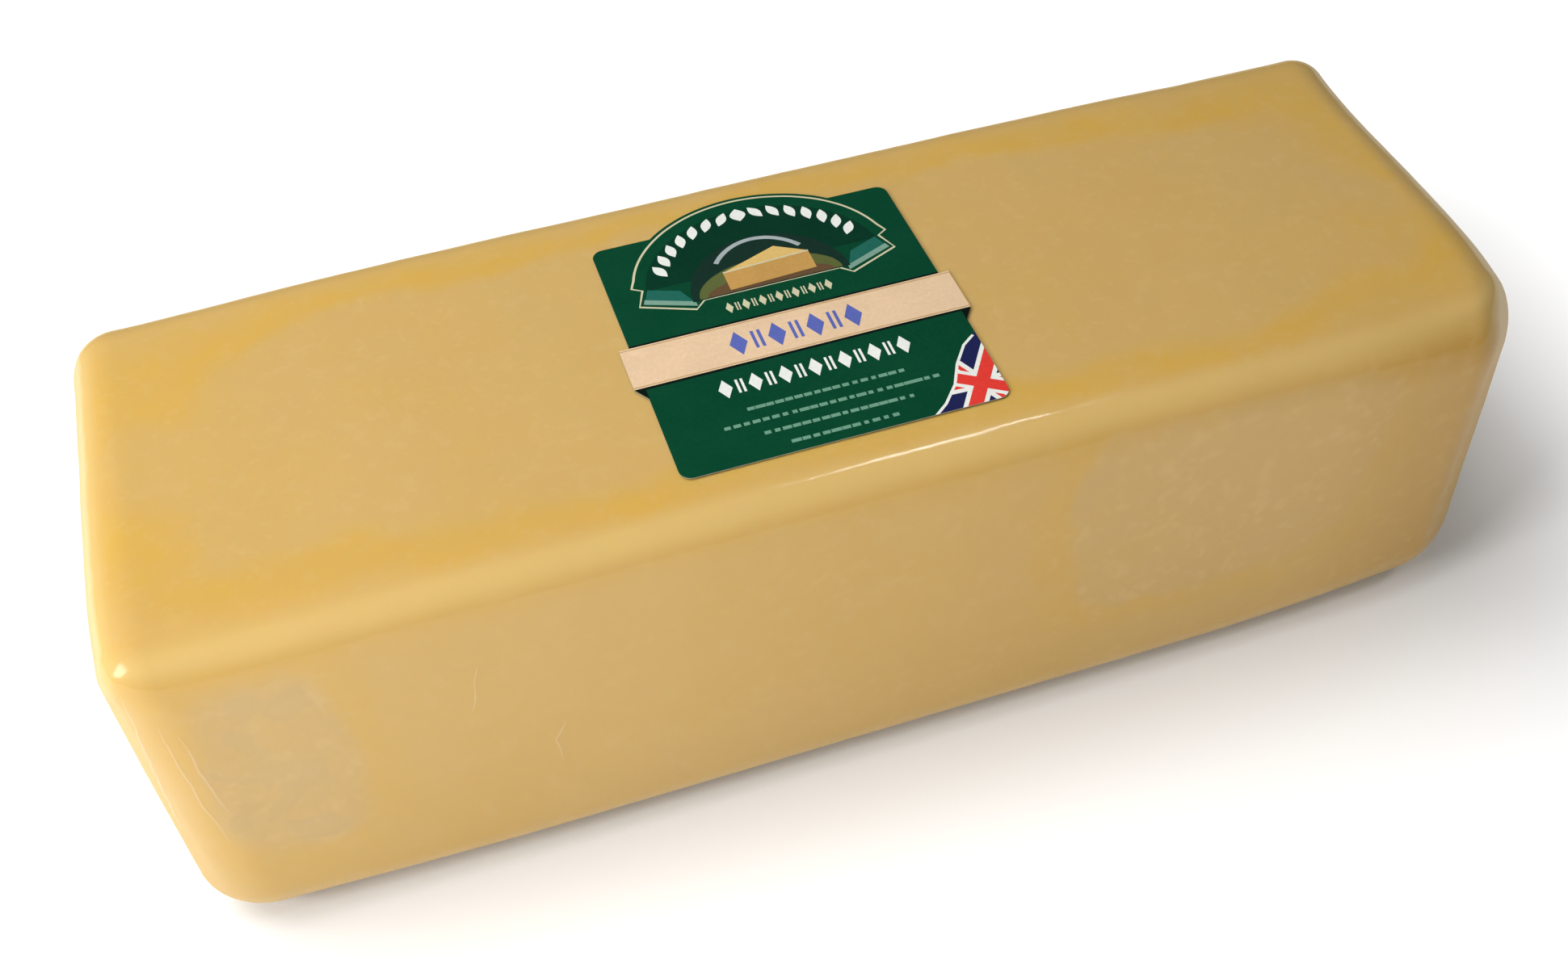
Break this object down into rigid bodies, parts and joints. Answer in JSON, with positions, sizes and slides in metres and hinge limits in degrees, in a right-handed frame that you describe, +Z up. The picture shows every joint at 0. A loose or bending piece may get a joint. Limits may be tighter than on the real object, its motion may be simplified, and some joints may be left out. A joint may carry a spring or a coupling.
{
  "type": "cheddar block",
  "caption": "Long block of cheddar sealed in clear shrink film, with rounded, slightly uneven edges and a die-cut printed label on its top face.",
  "frame": {"origin": "middle of the bounding box at the flat base that the block rests on", "axes": "+X along the block's length, +Y from the front to the back, +Z up, out of the labelled face"},
  "size_m": [0.355, 0.1244, 0.1074],
  "materials": {
    "cheese_film": "pale yellow cheddar seen through tight, clear, satin shrink film",
    "label_paper": "satin coated paper printed dark green, with a pale peach band and simple shapes"
  },
  "bodies": {
    "root": {"sealed_block": "cheese_film", "label": "label_paper"}
  },
  "joints": []
}
